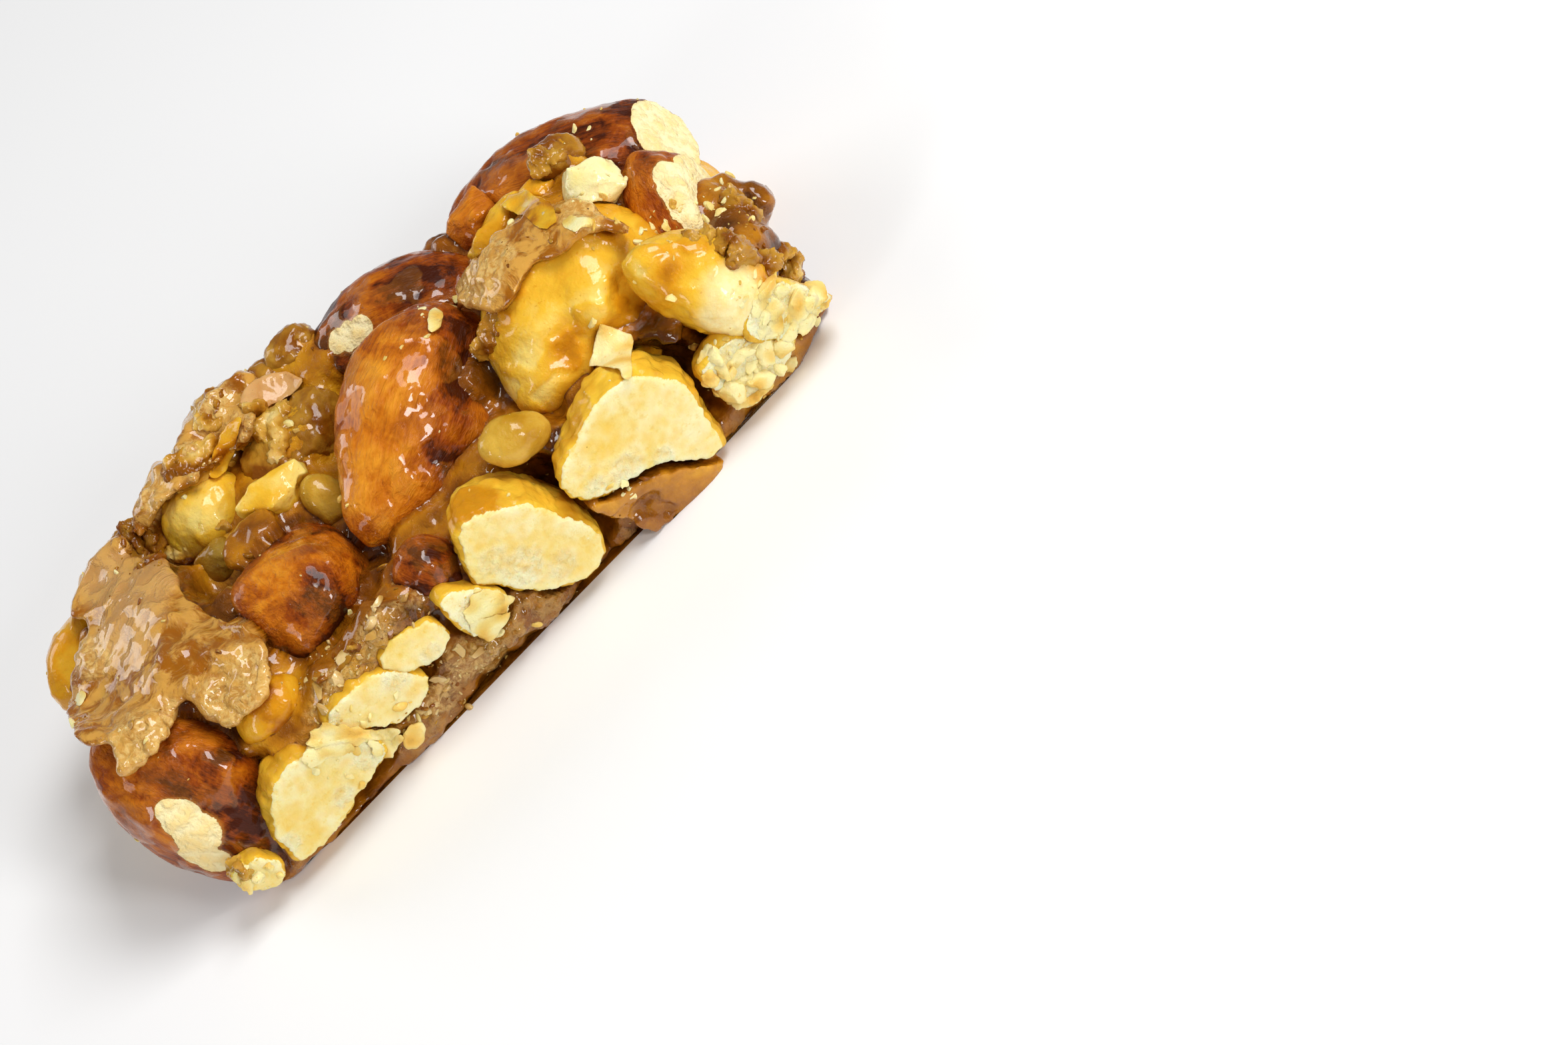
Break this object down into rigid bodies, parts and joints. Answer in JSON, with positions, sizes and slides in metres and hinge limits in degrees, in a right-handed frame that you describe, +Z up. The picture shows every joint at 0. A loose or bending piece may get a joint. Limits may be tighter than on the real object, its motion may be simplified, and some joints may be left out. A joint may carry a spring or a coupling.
{
  "type": "caramel nut bar",
  "caption": "Oblong bar of whole and cut nuts set in glossy caramel, lying flat, with knife-cut sides that show pale nut faces.",
  "frame": {"origin": "middle of the bar's box, on its flat underside", "axes": "+X along the bar, -Y towards the front cut side, +Z up through the nutty top"},
  "size_m": [0.0834, 0.0392, 0.0218],
  "materials": {
    "caramel": "glossy caramel with crisp flakes",
    "almond_skin": "brown almond skin under a caramel glaze",
    "golden_nut": "golden nut under a thin clear glaze",
    "toffee_nut": "nut under a thick toffee coat",
    "cut_nut": "pale matte face of a cut nut"
  },
  "bodies": {
    "root": {"almond_end_on": "almond_skin", "almond_far_middle": "almond_skin", "almond_far_right": "almond_skin", "almond_left_end": "almond_skin", "almond_middle": "almond_skin", "almond_red_piece": "almond_skin", "almond_right_half": "almond_skin", "almond_tip_front": "almond_skin", "back_almond_long": "almond_skin", "back_almond_short": "almond_skin", "back_cashew": "cut_nut", "back_nut_corner": "golden_nut", "back_nut_small": "golden_nut", "caramel": "caramel", "cashew_right_edge": "golden_nut", "cut_cashew_tall": "cut_nut", "cut_cashew_wide": "cut_nut", "cut_nut_corner": "cut_nut", "cut_nut_cracked": "cut_nut", "cut_nut_end_bit": "cut_nut", "cut_nut_left": "cut_nut", "cut_nut_low": "cut_nut", "cut_nut_second": "cut_nut", "cut_nut_third": "cut_nut", "end_nut_left": "cut_nut", "end_nut_right": "golden_nut", "nut_amber": "toffee_nut", "nut_back_left": "toffee_nut", "nut_back_long": "toffee_nut", "nut_back_round": "toffee_nut", "nut_between": "golden_nut", "nut_big_golden": "golden_nut", "nut_crusty": "toffee_nut", "nut_far_corner": "golden_nut", "nut_far_left": "golden_nut", "nut_green_shard": "golden_nut", "nut_raisin_like": "toffee_nut", "nut_ridge_piece": "golden_nut", "nut_ridge_shard": "golden_nut", "nut_under_flake": "golden_nut", "nut_wedge": "golden_nut", "nut_white_chunk": "cut_nut", "seed_nut": "golden_nut"}
  },
  "joints": []
}
